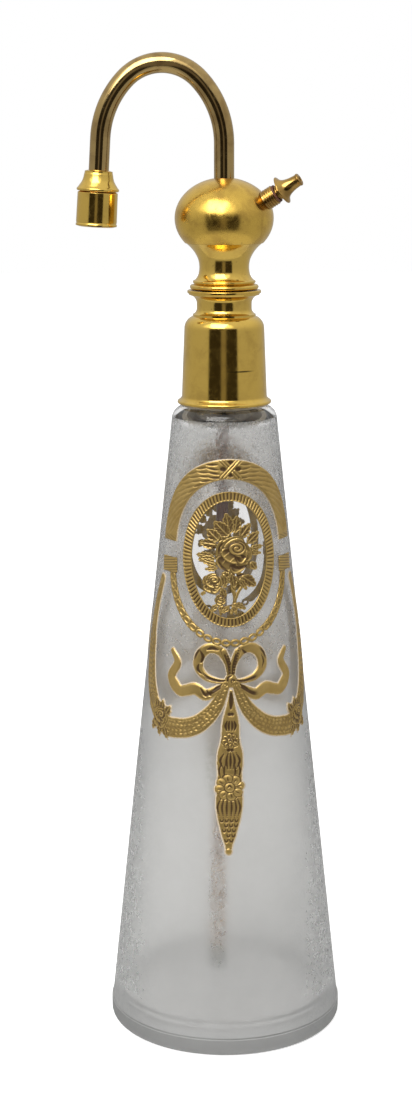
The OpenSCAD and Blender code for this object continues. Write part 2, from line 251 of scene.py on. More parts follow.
def etched_glass(name, light, stained=True):
    """Acid-etched glass: a satin skin that scatters much of the light, with patches worn thin; their darker tint
    at the left and right sides is painted shade.
    """
    made, place = new_material(name)

    def lit(*tint):
        """A tint darkened to the glass's lightness."""
        return tuple(light * share for share in tint)

    def stain(color, spot, size, amount, tint, broken=None):
        """A soft spot of another colour, broken up by a pattern if one is given."""
        share = near_spot(place, spot, size)
        if broken is not None:
            share = times(share, broken)
        return blend(times(share, amount), color, tint)

    x, _, z = add("SeparateXYZ", {"Vector": place}).outputs
    # Thin patches grow toward the top and toward the left and right sides; at the sides their darker tint is
    # painted shade.
    worn = largest(ramp(calc("ABSOLUTE", x), 0.013, 0.027, 0.0, 0.5), ramp(z, 0.070, 0.150, 0.05, 0.8))
    if stained:
        worn = largest(worn, times(near_spot(place, (-1.9, -26, 42), (3.7, 12, 31)), 0.9))
    thin = times(ramp(noise(place, 480, 5, 0.7, 0.8), 0.42, 0.62), worn)
    color = blend(ramp(noise(place, 110, 4, 0.6), 0.3, 0.75), lit(1, 1, 0.98), lit(0.94, 0.94, 0.92))
    color = blend(times(thin, 0.7), color, lit(0.72, 0.735, 0.74))
    # The skin keeps its roughness near the foot, where the thin patches end
    gloss = largest(ramp(thin, 0.0, 1.0, 0.31, 0.15), ramp(z, 0.007, 0.015, 0.46, 0.1))
    if stained:
        speck = ramp(noise(place, 700, 5, 0.75), 0.36, 0.62)
        color = stain(color, (0, -16, 122), (34, 34, 56), 0.55, lit(0.93, 0.85, 0.77))
        color = stain(color, (-0.6, -13.5, 155), (9, 7, 6.5), 0.85, (0.30, 0.22, 0.15), speck)
        color = stain(color, (-3.6, -23, 76), (2.4, 7, 13), 0.5, (0.40, 0.42, 0.36), speck)
    normal = bump(noise(place, 420, 4, 0.6, 0.6), 0.5, worn)
    normal = bump(noise(place, 2600, 3, 0.7), 0.015, 0.4, under=normal)
    return finished(made, color, gloss, normal, Transmission_Weight=0.80, IOR=1.5)


def matt(name, light, dark, scale, rough, depth):
    """A plain dull material with a broken colour and a pitted skin."""
    made, place = new_material(name)
    patch = noise(place, scale, 5, 0.65, 0.5)
    color = blend(ramp(patch, 0.3, 0.7), light, dark)
    pits = add("TexVoronoi", {"Vector": place, "Scale": scale * 3}).outputs["Distance"]
    skin = bump(calc("ADD", patch, pits), depth, 0.7)
    return finished(made, color, ramp(patch, 0.2, 0.8, rough, rough + 0.15), skin)


def stained_tube(name):
    """A pale tube stained dark red-brown at its top and in tan blotches near its foot."""
    made, place = new_material(name)
    z = add("SeparateXYZ", {"Vector": place}).outputs[2]
    patch = noise(place, 170, 4, 0.65, 0.4)
    pale = blend(ramp(patch, 0.3, 0.7), (0.66, 0.56, 0.44), (0.50, 0.41, 0.31))
    blotched = blend(ramp(patch, 0.42, 0.58), (0.74, 0.50, 0.27), (0.30, 0.13, 0.04))
    color = blend(ramp(z, 0.050, 0.070), blotched, pale)
    color = blend(ramp(z, 0.125, 0.139), color, (0.15, 0.065, 0.035))
    return finished(made, color, ramp(patch, 0.2, 0.8, 0.3, 0.5), bump(patch, 0.05, 0.6))


GOLDEN = (0.80, 0.54, 0.12), (0.42, 0.25, 0.06), 0.15, 0.09, 0.5
POLISHED = brass("polished_brass", *GOLDEN)
NICKED = brass("nicked_brass", *GOLDEN, nick=((4.6, -9.6, 175.4), (4.4, 5, 0.3)))
SATIN = brass("satin_brass", (0.78, 0.51, 0.10), (0.36, 0.20, 0.05), 0.25, 0.19, 0.6)
DULL = brass("dull_brass", (0.60, 0.38, 0.10), (0.22, 0.12, 0.04), 0.4, 0.13, 0.8)
TARNISHED = brass("tarnished_brass", (0.50, 0.35, 0.14), (0.20, 0.115, 0.045), 0.3, 0.06, 0.6)
RAW = brass("raw_brass", (0.66, 0.46, 0.15), (0.34, 0.21, 0.07), 0.35, 0.24)
CLEAR = clear_glass("clear_glass")
ETCHED = etched_glass("etched_glass", 0.68)
FOOT = etched_glass("foot_glass", 0.39, stained=False)
GILT = gilding("gilding")
CORK = matt("cork", (0.52, 0.34, 0.18), (0.27, 0.15, 0.07), 700, 0.75, 0.12)
FIBRE = matt("vulcanised_fibre", (0.20, 0.07, 0.035), (0.11, 0.04, 0.02), 900, 0.5, 0.03)
PLASTER = matt("plaster", (0.90, 0.82, 0.66), (0.70, 0.61, 0.47), 500, 0.8, 0.05)
STAINED = stained_tube("stained_tube")
GAUZE = matt("gauze", (0.20, 0.21, 0.15), (0.05, 0.05, 0.03), 900, 0.4, 0.05)


# ---------------------------------------------------------------- mesh helpers

def rounded(corners, steps):
    """An outline whose corners (x, y, radius) become arcs; a corner without a radius stays sharp."""
    out = []
    count = len(corners)
    for i, corner in enumerate(corners):
        here = np.array(corner[:2], float)
        if len(corner) < 3:
            out.append(tuple(here))
            continue
        a = np.array(corners[i - 1][:2], float) - here
        b = np.array(corners[(i + 1) % count][:2], float) - here
        len_a, len_b = np.linalg.norm(a), np.linalg.norm(b)
        a, b = a / len_a, b / len_b
        half = math.acos(max(-1.0, min(1.0, float(a @ b)))) / 2
        cut = min(corner[2] / math.tan(half), 0.49 * len_a, 0.49 * len_b)
        radius = cut * math.tan(half)
        middle = (a + b) / np.linalg.norm(a + b) * radius / math.sin(half) + here
        start, end = here + a * cut - middle, here + b * cut - middle
        turn = math.atan2(start[0] * end[1] - start[1] * end[0], float(start @ end))
        for k in range(steps + 1):
            c, s = math.cos(turn * k / steps), math.sin(turn * k / steps)
            out.append((middle[0] + c * start[0] - s * start[1], middle[1] + s * start[0] + c * start[1]))
    return out


def arc(x, y, r, start, end, steps):
    """Points of a round stretch, with its angles in degrees."""
    angles = [math.radians(start + (end - start) * i / steps) for i in range(steps + 1)]
    return [(x + r * math.cos(a), y + r * math.sin(a)) for a in angles]


def flowing(points, steps):
    """A smooth curve through a few points, ends included."""
    p = np.array(points, float)
    p = np.concatenate([[2 * p[0] - p[1]], p, [2 * p[-1] - p[-2]]])
    out = []
    for a, b, c, d in zip(p, p[1:], p[2:], p[3:]):
        for t in np.arange(steps) / steps:
            out.append(tuple(0.5 * (2 * b + (c - a) * t + (2 * a - 5 * b + 4 * c - d) * t * t
                                    + (3 * b - a - 3 * c + d) * t ** 3)))
    return out + [tuple(p[-2])]


def new_object(name, data):
    """An object in the scene."""
    made = bpy.data.objects.new(name, data)
    bpy.context.scene.collection.objects.link(made)
    return made


def finish_piece(name, mesh, body, materials, replaced=(), place=None, sharp=35):
    """Links a mesh as a piece that rides on a body."""
    if place is not None:
        mesh.transform(place)
    for material in materials:
        mesh.materials.append(material)
    for polygon in mesh.polygons:
        polygon.use_smooth = True
    if sharp:
        mesh.set_sharp_from_angle(angle=math.radians(sharp))
    piece = new_object(name, mesh)
    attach(piece, body)
    if replaced:
        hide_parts(*replaced)


def ring_mesh(name, rings, pick=None):
    """A closed mesh that joins each ring of points to the next, and the last ring to the first."""
    bm = bmesh.new()
    rings = [[bm.verts.new([v * MM for v in spot]) for spot in ring] for ring in rings]
    segments = max(len(ring) for ring in rings)
    for i, low in enumerate(rings):
        high = rings[(i + 1) % len(rings)]
        if len(low) == 1 and len(high) == 1:
            continue
        for k in range(segments):
            n = (k + 1) % segments
            corners = [low[k % len(low)], low[n % len(low)], high[n % len(high)], high[k % len(high)]]
            face = bm.faces.new(list(dict.fromkeys(corners)))
            if pick:
                face.material_index = pick(i, face.calc_center_median() / MM)
    bmesh.ops.recalc_face_normals(bm, faces=bm.faces)
    mesh = bpy.data.meshes.new(name)
    bm.to_mesh(mesh)
    bm.free()
    return mesh


def turned_mesh(name, outline, segments, pick=None, wobble=None):
    """A closed mesh turned from a closed outline of (r, z) in millimetres."""
    def ring(r, z):
        if r < 1e-6:
            return [(0, 0, z)]
        out = [r + (wobble(a, r, z) if wobble else 0.0) for a in angles]
        return [(far * math.cos(a), far * math.sin(a), z) for far, a in zip(out, angles)]

    angles = [TAU * k / segments for k in range(segments)]
    return ring_mesh(name, [ring(r, z) for r, z in outline], pick)


def turned_piece(name, outline, segments, body, material, node, place=None):
    """A piece turned from an outline, in place of one CAD node."""
    finish_piece(name, turned_mesh(name, outline, segments), body, [material], [node], place)


# ---------------------------------------------------------------- glass bottle

def bottle_outline():
    """The bottle's closed outline, and how many of its points belong to the outer skin."""
    soft, heel, band_edge, bowl = 3.4, 1.7, 0.5, 5.0
    cone_end = SHOULDER_Z - soft + 0.25
    outer = [(0, 0), (FOOT_R - heel, 0)]
    outer += arc(FOOT_R - heel, heel, heel, -80, 0, 8)
    outer += arc(FOOT_R - band_edge, FOOT_H - band_edge, band_edge, 0, 70, 5)
    outer += [(CONE_R + 0.02, FOOT_H + 0.12)]
    outer += [(cone_r(z), z) for z in np.linspace(CONE_Z, cone_end, 150)]
    outer += arc(cone_r(cone_end) - soft, SHOULDER_Z - soft, soft, 12, 90, 9)
    outer += arc(NECK_R + 0.5, SHOULDER_Z + 0.5, 0.5, 262, 180, 4)
    outer += rounded([(NECK_R, SHOULDER_Z + 1), (NECK_R, NECK_TOP, 0.6), (BORE_R, NECK_TOP, 0.4),
                      (BORE_R, SHOULDER_Z)], 3)
    inner = arc(BORE_R + 1.5, SHOULDER_Z - 1.7, 1.5, 180, 262, 6)
    inner += arc(SHOULDER_R - GLASS_WALL - 2.8, SHOULDER_Z - 5.9, 2.8, 88, 6, 10)
    corner_r = CONE_R - GLASS_WALL - bowl
    inner += arc(corner_r, FLOOR_T + bowl, bowl, 0, -88, 14)
    inner += [(corner_r * 0.5, FLOOR_T + 0.25), (0, FLOOR_T + 0.4)]
    return outer + inner, len(outer)


def make_bottle():
    """The bottle, clear inside and above, etched outside, with a darker foot band."""
    outline, skin = bottle_outline()
    frost_low, frost_high = FOOT_H - 0.05, SHOULDER_Z - 2.6
    frosted = [i for i in range(skin - 1) if outline[i][1] > frost_low and outline[i + 1][1] < frost_high]
    clear, etched, foot = range(3)

    def pick(row, middle):
        if row >= frosted[0]:
            return etched if row <= frosted[-1] and not in_window(middle) else clear
        if middle[2] > FOOT_H - 0.5:
            return etched
        return foot if row > 2 else clear

    mesh = turned_mesh("glass_bottle", outline, 360, pick)
    finish_piece("glass_bottle", mesh, "bottle", [CLEAR, ETCHED, FOOT], ["bottle"],
                 sharp=50)


MOTIF_TURN = math.radians(4.4)
FACES = {"front": MOTIF_TURN, "back": MOTIF_TURN + math.pi}
RING_Z = 128.8
WINDOW = (10.6, 15.6)


def in_window(p):
    """True inside the clear oval of the front or the back motif."""
    angle, height = math.atan2(p[0], -p[1]), p[2] - RING_Z
    if abs(height) > WINDOW[1]:
        return False
    around = min(abs((angle - turn + math.pi) % TAU - math.pi) for turn in FACES.values())
    return (around * cone_r(p[2]) / WINDOW[0]) ** 2 + (height / WINDOW[1]) ** 2 < 1


# ---------------------------------------------------------------- gilding

PITCH = 0.14
GILT_T = 0.16
GILT_SINK = 0.05


def smooth(x):
    """A smooth step from 0 to 1."""
    x = np.clip(x, 0, 1)
    return x * x * (3 - 2 * x)


def stripe(off, half, height=1.4):
    """A soft line by the distance from its middle: 1 there and 0 at height times half."""
    return smooth(height - np.abs(off) / half)


def oval(s, z, mid_s, mid_z, half_s, half_z):
    """Distance inside an oval, negative outside."""
    ds, dz = s - mid_s, z - mid_z
    k = np.sqrt((ds / half_s) ** 2 + (dz / half_z) ** 2) + 1e-6
    slope = np.sqrt((ds / half_s ** 2) ** 2 + (dz / half_z ** 2) ** 2) + 1e-6
    return k * (1 - k) / slope


def turned_to(gs, gz, s, z, angle):
    """Grid distances along and across a direction from a point."""
    c, d = math.cos(angle), math.sin(angle)
    return (gs - s) * c + (gz - z) * d, -(gs - s) * d + (gz - z) * c


def broken_lines(along, across):
    """Wavy lines that run along a band and break off at places."""
    wave = along * 0.22 + 0.55 * np.sin(along * 1.3) + across
    dash = (along * 0.4 + np.floor(wave / 1.05) * 0.37) % 1
    return stripe(wave % 1.05 - 0.52, 0.2, 1.25) * stripe(dash - 0.5, 0.27, 1.6)


def stipple(along, across):
    """The ground between uneven round dots, set in rows along a band."""
    v = across / 1.05
    u = along / 1.25 + 0.5 * (np.floor(v) % 2) + 0.4 * np.sin(np.floor(v) * 7.3)
    shift = 0.22 * np.sin(12.9 * np.floor(u) + 4.7 * np.floor(v))
    far = np.hypot(u % 1 - 0.5 + 0.5 * shift, v % 1 - 0.5 + shift)
    return smooth((far - 0.27 - 0.3 * shift) / 0.15)


def box_round(s, z, half_s, half_z=None):
    """The box of a given half size round a point."""
    half_z = half_z or half_s
    return s - half_s, s + half_s, z - half_z, z + half_z


class Relief:
    """A motif as a height map: s runs round the cone from the middle line and z up it, in millimetres."""

    def __init__(self, left, right, low, high, halo=0.0):
        self.halo = halo
        self.s, self.z = np.meshgrid(np.arange(left, right, PITCH), np.arange(low, high, PITCH))
        self.edge = np.full(self.s.shape, -1.0)
        self.rise = np.zeros(self.s.shape)
        self.dark = np.zeros(self.s.shape)
        self.corner = np.array([left, low])

    def near(self, s0, s1, z0, z1):
        """The part of the grid round a box."""
        rows, columns = self.s.shape
        i0, j0 = ((np.array([s0, z0]) - 1 - self.corner) / PITCH).astype(int)
        i1, j1 = ((np.array([s1, z1]) + 1 - self.corner) / PITCH).astype(int) + 1
        return slice(max(j0, 0), min(j1, rows)), slice(max(i0, 0), min(i1, columns))

    def lay(self, box, shape, outline=0.28, new=True):
        """Lays a shape over what is there; shape(s, z) gives the distance inside, the rise and the dark."""
        at = self.near(*box)
        inside, rise, dark = shape(self.s[at], self.z[at])
        if new:
            self.edge[at] = np.maximum(self.edge[at], inside)
        brim = smooth(1 + inside / outline) * (inside <= 0)
        self.dark[at] = np.maximum(self.dark[at], 0.9 * brim)
        self.rise[at] = self.rise[at] * (1 - 0.8 * brim)
        on = inside > 0
        self.rise[at] = np.where(on, rise, self.rise[at])
        self.dark[at] = np.where(on, dark, self.dark[at])

    def leaf(self, s, z, angle, length, width):
        """A pointed, veined leaf with a light rim and rib."""
        def shape(gs, gz):
            u, v = turned_to(gs, gz, s, z, math.radians(angle))
            share = np.clip(u / length, 0, 1)
            half = width * np.sin(np.pi * share ** 0.85) ** 0.9 + 0.12 * np.sin(u * 6.5) * (share > 0.15)
            inside = np.minimum(half - np.abs(v), np.minimum(u, length - u) * 0.7)
            rim = stripe(inside - 0.14, 0.16, 1.5)
            rib = stripe(v, 0.15, 1.3)
            side = stripe((u - np.abs(v) * 1.1) % 1.15 - 0.5, 0.17, 1.1)
            ridge = np.maximum(rim, np.maximum(rib, 0.45 * side))
            return inside, 0.22 * (0.35 + 0.65 * ridge), 0.8 * (1 - ridge)

        self.lay(box_round(s, z, length + width), shape)

    def petal(self, s, z, deep, wide, angle, high):
        """A broad petal turned outwards: a light rolled rim, two fold lines and a dark throat, which is painted
        shadow beneath the next petal.
        """
        def shape(gs, gz):
            u, v = turned_to(gs, gz, s, z, math.radians(angle))
            inside = oval(u, v, 0, 0, deep, wide)
            rim = stripe(inside - 0.16, 0.2, 1.6) * smooth(0.9 + u / deep)
            fold = 0.7 * stripe(np.abs(v + 0.3 * u) - 0.36 * wide, 0.17, 1.2) * (inside > 0.3)
            light = np.maximum(rim, fold)
            # Painted shadow: darker toward the middle, beneath the next petal.
            throat_shadow = 0.45 + 0.5 * smooth(0.55 - u / deep)
            return inside, high * (0.4 + 0.6 * light), throat_shadow * (1 - light)

        self.lay(box_round(s, z, max(deep, wide)), shape, outline=0.36)

    def rose(self, s, z, r, turn):
        """A rose seen a little from the side: broad outer petals and a coiled heart off its middle."""
        for count, out, deep, wide, high in ((5, 0.5, 0.42, 0.66, 0.18), (3, 0.3, 0.34, 0.56, 0.25)):
            for k in range(count):
                a = turn + 360 * k / count + 31 * count
                c, d = math.cos(math.radians(a)), math.sin(math.radians(a))
                self.petal(s + out * r * c, z + out * r * d, deep * r, wide * r, a + 14, high)
            s, z = s + 0.1 * r, z + 0.16 * r

        def heart(gs, gz):
            ds, dz = (gs - s) * 0.86 + (gz - z) * 0.3, (gz - z) * 1.1 - (gs - s) * 0.2
            far = np.hypot(ds, dz)
            coil = (far / max(0.2 * r, 0.75) - np.arctan2(dz, ds) / TAU) % 1
            line = stripe(coil - 0.5, 0.26, 1.3)
            return 0.4 * r - far, 0.3 - 0.14 * line, 0.9 * line

        self.lay(box_round(s, z, r), heart, outline=0.36)

    def stroke(self, points, widths, high=0.2, lines=0.0, dots=0.0, fold_shades=(), new=True):
        """A band along a smooth curve, plain, lined, stippled or with dark fold lines of painted shade."""
        path = np.array(flowing(points, 7))
        steps = np.hypot(*(path[1:] - path[:-1]).T)
        run = np.concatenate([[0], np.cumsum(steps)])
        share = run / run[-1]
        half = np.interp(share, np.linspace(0, 1, len(widths)), widths)
        first, last = path.min(axis=0) - max(widths), path.max(axis=0) + max(widths)

        def shape(gs, gz):
            best = np.full(gs.shape, -9.0)
            along, across = np.zeros(gs.shape), np.zeros(gs.shape)
            for i in range(len(path) - 1):
                a, step, size = path[i], path[i + 1] - path[i], steps[i]
                t = np.clip(((gs - a[0]) * step[0] + (gz - a[1]) * step[1]) / size ** 2, 0, 1)
                ds, dz = gs - a[0] - t * step[0], gz - a[1] - t * step[1]
                inside = half[i] + (half[i + 1] - half[i]) * t - np.hypot(ds, dz)
                closer = inside > best
                best = np.where(closer, inside, best)
                along = np.where(closer, run[i] + t * size, along)
                across = np.where(closer, (step[0] * dz - step[1] * ds) / size, across)
            width = np.interp(along / run[-1], np.linspace(0, 1, len(widths)), widths) + 1e-6
            rise = high * smooth(0.3 + best / (0.6 * width))
            dark = 0.12 + 0 * rise
            core = smooth((best - 0.3) / 0.2)
            if lines or dots:
                dark = np.maximum(dark, 0.45 * stripe(best - 0.42, 0.16))
            if lines:
                line = broken_lines(along, across) * core
                dark, rise = np.maximum(dark, lines * line), rise - 0.08 * line
            if dots:
                dot = stipple(along, across) * core
                dark, rise = np.maximum(dark, dots * dot), rise - 0.1 * dot
            for start, end, at, wide in fold_shades:
                share_on = along / run[-1]
                on = smooth((share_on - start) / 0.08) * smooth((end - share_on) / 0.08)
                # Painted shade: a dark line along the band where the ribbon folds.
                fold = stripe(across / width - at, wide) * on
                dark, rise = np.maximum(dark, fold), rise - 0.08 * fold
            return best, rise, dark

        self.lay((first[0], last[0], first[1], last[1]), shape, new=new)

    def cut(self, points, half, deep=1.0):
        """A dark line along a smooth curve, fading to its ends: engraved lines, and the painted shadow lines of
        the rose and the bow.
        """
        path = np.array(flowing(points, 5))
        low, high = path.min(axis=0), path.max(axis=0)
        at = self.near(low[0], high[0], low[1], high[1])
        gs, gz = self.s[at], self.z[at]
        line = np.zeros(gs.shape)
        for i, (s, z) in enumerate(path):
            wide = half * (0.45 + 0.55 * math.sin(math.pi * i / (len(path) - 1)))
            line = np.maximum(line, smooth(1.5 - np.hypot(gs - s, gz - z) / wide))
        self.dark[at] = np.maximum(self.dark[at], deep * line)
        self.rise[at] = self.rise[at] - 0.14 * line * (self.rise[at] > 0.05)

    def knob(self, s, z, half_s, half_z, high=0.26, dark_edge=0.2):
        """A rounded boss, dark at its edge."""
        def shape(gs, gz):
            inside = oval(gs, gz, s, z, half_s, half_z)
            return inside, high * smooth(0.3 + inside / min(half_s, half_z)), dark_edge * (inside < 0.15)

        self.lay(box_round(s, z, half_s, half_z), shape)

    def mesh(self, name, turn):
        """A closed mesh of the covered area, wrapped on the cone, with the dark as an attribute."""
        rows, columns = self.s.shape
        edge = self.edge + self.halo
        self.dark[self.edge <= 0] = -1.0
        self.rise[self.edge <= 0] = -0.12
        edge[np.abs(edge) < 1e-4] = -1e-4
        edge[0], edge[-1], edge[:, 0], edge[:, -1] = -1, -1, -1, -1
        inside = edge > 0
        number = np.full((3, rows, columns), -1)
        data = np.stack([self.s, self.z, self.rise, self.dark])
        count = int(inside.sum())
        number[0][inside] = np.arange(count)
        spots = [data[:, inside]]
        for axis, a, b in ((1, np.s_[:, :-1], np.s_[:, 1:]), (2, np.s_[:-1, :], np.s_[1:, :])):
            crossed = inside[a] != inside[b]
            share = np.clip((edge[a] / (edge[a] - edge[b]))[crossed], 0.06, 0.94)
            here, there = data[(slice(None),) + a][:, crossed], data[(slice(None),) + b][:, crossed]
            spot = here + (there - here) * share
            spot[2:] = np.where(inside[a][crossed], here[2:], there[2:])
            number[axis][a][crossed] = count + np.arange(spot.shape[1])
            spots.append(spot)
            count += spot.shape[1]
        faces, walls = self.cells(inside, number)
        return self.wrap(name, turn, np.concatenate(spots, axis=1), faces, walls)

    def cells(self, inside, number):
        """The faces of every grid cell, and the pairs of points that bound them."""
        cut = np.s_[:-1, :-1], np.s_[:-1, 1:], np.s_[1:, 1:], np.s_[1:, :-1]
        corners = [number[0][c] for c in cut]
        sides = [number[1][cut[0]], number[2][cut[1]], number[1][cut[3]], number[2][cut[0]]]
        kind = sum(inside[c].astype(int) << i for i, c in enumerate(cut))
        faces, walls = [], []
        for case in range(1, 16):
            at = kind == case
            if not at.any():
                continue
            loop, bounds = [], []
            for i in range(4):
                here, after = case >> i & 1, case >> (i + 1) % 4 & 1
                if here:
                    loop.append(corners[i][at])
                if here != after:
                    loop.append(sides[i][at])
                    bounds.append((len(loop) - 1, here))
            faces.append(np.stack(loop, axis=1))
            for k, (place, leaving) in enumerate(bounds):
                if leaving:
                    after = bounds[(k + 1) % len(bounds)][0]
                    walls.append(np.stack([loop[place], loop[after]], axis=1))
        return faces, np.concatenate(walls)

    def wrap(self, name, turn, spots, faces, walls):
        """Bends the covered area round the cone, adds its sunk underside, and joins the two by walls."""
        s, z, rise, dark = spots
        count = s.size
        angle = s / cone_r(z) + turn
        points = []
        for out in (GILT_T + np.maximum(rise, -0.1), np.full(count, -GILT_SINK)):
            radius = cone_r(z) + out
            points.append(np.stack([radius * np.sin(angle), -radius * np.cos(angle), z], axis=1))
        loops = [f.tolist() for f in faces]
        polygons = [p for group in loops for p in group]
        polygons += [[i + count for i in reversed(p)] for group in loops for p in group]
        polygons += [[a + count, b + count, b, a] for a, b in walls.tolist()]
        mesh = bpy.data.meshes.new(name)
        mesh.from_pydata((np.concatenate(points) * MM).tolist(), [], polygons)
        tone = mesh.attributes.new("gilt_dark", "FLOAT", "POINT")
        tone.data.foreach_set("value", np.concatenate([dark, np.full(count, 0.3)]).astype(np.float32))
        return mesh


def along_oval(half_s, half_z, mid_z, count):
    """Evenly spaced points on an oval from its lowest point, with the direction of travel."""
    t = np.linspace(-math.pi / 2, 1.5 * math.pi, 1441)
    s, z = half_s * np.cos(t), mid_z + half_z * np.sin(t)
    run = np.concatenate([[0], np.cumsum(np.hypot(np.diff(s), np.diff(z)))])
    at = np.interp((np.arange(count) + 0.5) / count * run[-1], run, t)
    way = np.degrees(np.arctan2(half_z * np.cos(at), -half_s * np.sin(at)))
    return half_s * np.cos(at), mid_z + half_z * np.sin(at), way


def medallion():
    """The oval frame with its radial bars."""
    relief = Relief(-14, 14, 110, 148)
    bars, half_s, half_z = 96, 11.2, 15.9
    t = np.linspace(-math.pi, math.pi, 721)
    steps = np.hypot(np.diff(half_s * np.cos(t)), np.diff(half_z * np.sin(t)))
    run = np.concatenate([[0], np.cumsum(steps)])

    def shape(s, z):
        outer, inner = oval(s, z, 0, RING_Z, 12.4, 17.05), -oval(s, z, 0, RING_Z, 9.9, 14.8)
        place = np.interp(np.arctan2((z - RING_Z) / half_z, s / half_s), t, run / run[-1]) * bars
        gap = stripe(place % 1 - 0.5, 0.24, 1.5)
        rim = smooth(1.2 - np.minimum(outer, inner) / 0.3)
        groove = gap * (1 - rim)
        low_left = smooth((RING_Z - 6 - z - 0.5 * s) / 8)
        deep = 0.72 + 0.28 * low_left + 0.2 * smooth((z - RING_Z - 9 - s) / 6)
        return np.minimum(outer, inner), 0.22 - 0.2 * groove, np.minimum(deep, 1) * groove

    relief.lay((-13, 13, 111, 147), shape)
    return relief


# Leaves of the bouquet: where each springs from, its angle, its length and its half width
BOUQUET_LEAVES = [
    (2.6, 5.4, 52, 4.6, 1.3), (1.2, 6.6, 80, 4.6, 1.4), (0.2, 6.4, 102, 5.6, 1.45),
    (-1.8, 4.2, 100, 3.4, 1.2), (-0.2, 5.8, 134, 5.4, 1.8), (-2.7, 4.7, 136, 4.2, 1.5),
    (-3.2, 3.7, 174, 4.6, 1.3), (-3.9, 0.8, 176, 4.9, 0.9), (-3.6, 0.2, 184, 4.6, 0.9),
    (-3.2, -1.2, 166, 4.7, 0.85), (-3.0, -2.1, 186, 3.4, 0.75), (4.4, 3.9, 40, 4.4, 1.25),
    (5.0, 2.5, 8, 4.0, 0.75), (5.0, 1.8, -10, 3.4, 0.7), (5.3, -0.8, -52, 2.6, 1.0),
    (-0.6, -2.6, -112, 3.6, 1.0), (0.4, -3.4, -80, 4.2, 1.1), (1.9, -3.0, -64, 4.2, 1.1),
    (-1.6, -3.6, -84, 3.8, 0.9), (3.0, -4.2, -36, 4.8, 1.45), (2.4, -4.8, -58, 3.6, 0.8),
    (-6.2, -8.2, 214, 1.6, 0.5), (-2.2, -7.0, -68, 3.0, 0.8), (-3.2, -11.2, 232, 2.6, 0.7),
    (-2.2, -11.2, 268, 2.6, 0.7), (-0.2, -11.6, 226, 2.8, 0.7), (0.8, -11.0, -26, 3.8, 0.7),
    (0.6, -11.6, -66, 2.4, 0.7)]

# Painted shadows of the large rose, drawn as dark lines, each with its half width
ROSE_SHADOW_LINES = [
    ([(-3.9, 3.3), (-4.1, 2.3), (-3.6, 1.3)], 0.5), ([(0.4, -1.7), (2.3, -2.1), (4.2, -1.7)], 0.55),
    ([(3.0, 0.9), (3.4, 0.6), (3.9, 0.5)], 0.5), ([(-2.9, -0.4), (-1.9, -1.9), (-0.6, -2.9)], 0.36),
    ([(0.6, -3.6), (2.2, -4.1), (3.9, -3.5)], 0.34), ([(-1.6, 4.3), (-2.6, 3.0), (-2.7, 1.2)], 0.3)]


def raised(points):
    """Points given from the middle of the oval frame."""
    return [(s, RING_Z + z) for s, z in points]


def bouquet():
    """Roses, leaves and stems inside the oval frame."""
    relief = Relief(-10.4, 10.4, 113, 144)
    for stem, widths in (([(0.8, -3), (0.7, -7), (1.2, -10), (0.3, -13.6)], [0.5, 0.5, 0.4]),
                         ([(3.4, -6.4), (2.1, -8.2), (1.2, -10.4)], [0.4, 0.34]),
                         ([(-2.2, -8), (-2.5, -11), (-2.4, -13.8)], [0.4, 0.34])):
        relief.stroke(raised(stem), widths)
    for s, z, angle, length, width in BOUQUET_LEAVES:
        relief.leaf(s, RING_Z + z, angle, length, width)
    for s, z, size, turn in ((-4.5, -6.0, 2.7, 20), (-2.5, -10.2, 1.5, 50), (0.9, 1.2, 4.9, 12)):
        relief.rose(s, RING_Z + z, size, turn)
    for line, half in ROSE_SHADOW_LINES:
        relief.cut(raised(line), half)
    return relief


def wreath():
    """The arch of leaves over the frame, bound by a crossed ribbon at its top."""
    relief = Relief(-22, 22.5, 131, 156, 0.16)
    mid, low = 130.5, 132.5

    def base(s, z):
        hole = -oval(s, z, 0, mid, 14.9, 18.5)
        inside = np.minimum(oval(s, z, 0, mid, 19.9, 23.4), hole)
        hatch = stripe((z * 1.3 + s * 0.5) % 1 - 0.5, 0.3, 1.3) * smooth((low + 1.6 - z) / 0.4)
        # A dark line just inside the arch's inner edge, from z 138 upward: painted shadow under that edge.
        rim = stripe(hole - 0.45, 0.16) * smooth((z - 138) / 8)
        return np.minimum(inside, z - low), 0.2 + 0 * s, 0.12 + 0.4 * hatch + 0.5 * rim

    relief.lay((-21, 21, 132, 155), base)
    for half_s, half_z, lean in ((15.7, 19.3, 16), (16.8, 20.4, 24), (17.9, 21.5, 24), (19.1, 22.6, 14)):
        for s, z, way in zip(*along_oval(half_s, half_z, mid, 46)):
            if z < low + 3 or abs(s) < 2.2:
                continue
            deep = 0.95 - 0.75 * float(smooth(abs(s) / 16 - 0.05))
            turn = way - lean
            if s > 0:
                deep, turn = deep * 0.75, way + 180 + lean
            ds, dz = 1.3 * math.cos(math.radians(turn)), 1.3 * math.sin(math.radians(turn))
            relief.cut([(s - ds, z - dz), (s, z), (s + ds, z + dz)], 0.3, deep)
    for s, z in ((0.4, 153.2), (0.4, 150.0), (-1.5, 151.5), (2.3, 151.5)):
        relief.cut([(s - 0.5, z), (s, z), (s + 0.5, z)], 0.6)
    for run in (-2.1, 2.1):
        for s in (-0.05, 0.85):
            relief.stroke([(s - run, 149.3), (s + run, 153.8)], [0.3, 0.3], 0.3, new=False)
    return relief


